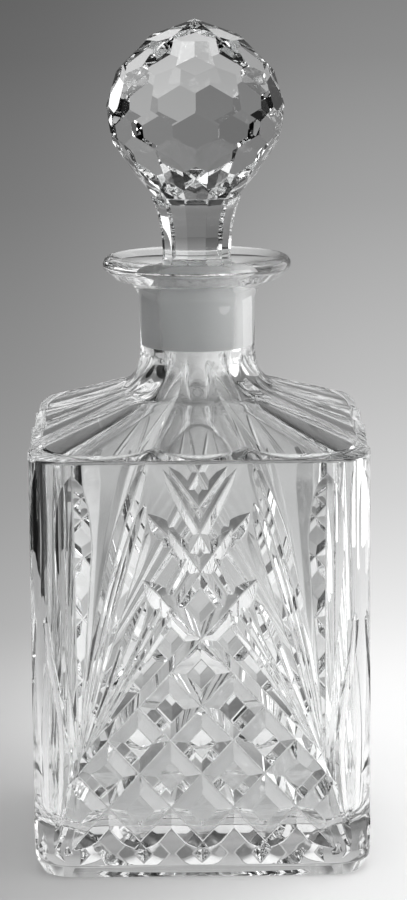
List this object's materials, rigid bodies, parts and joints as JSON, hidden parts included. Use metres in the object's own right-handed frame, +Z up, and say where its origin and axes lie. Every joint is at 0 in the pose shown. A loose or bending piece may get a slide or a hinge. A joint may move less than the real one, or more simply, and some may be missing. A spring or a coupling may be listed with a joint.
{
  "type": "decanter",
  "caption": "Square cut-glass spirit decanter with fluted shoulders, a flared lip and a faceted ball stopper ground into its neck.",
  "frame": {"origin": "centre of the base, on the surface the decanter stands on", "axes": "+Z up the bottle's axis towards the stopper; -Y is the front face; the sides are square to X and Y"},
  "size_m": [0.09, 0.09, 0.2248],
  "materials": {
    "crystal": "polished"
  },
  "bodies": {
    "bottle": {"bottle": "crystal"},
    "stopper": {"stopper": "crystal"}
  },
  "joints": [
    {"name": "stopper_lift", "type": "slide", "parent": "bottle", "child": "stopper", "axis": [0, 0, 1], "range_m": [0, 0.06]}
  ]
}
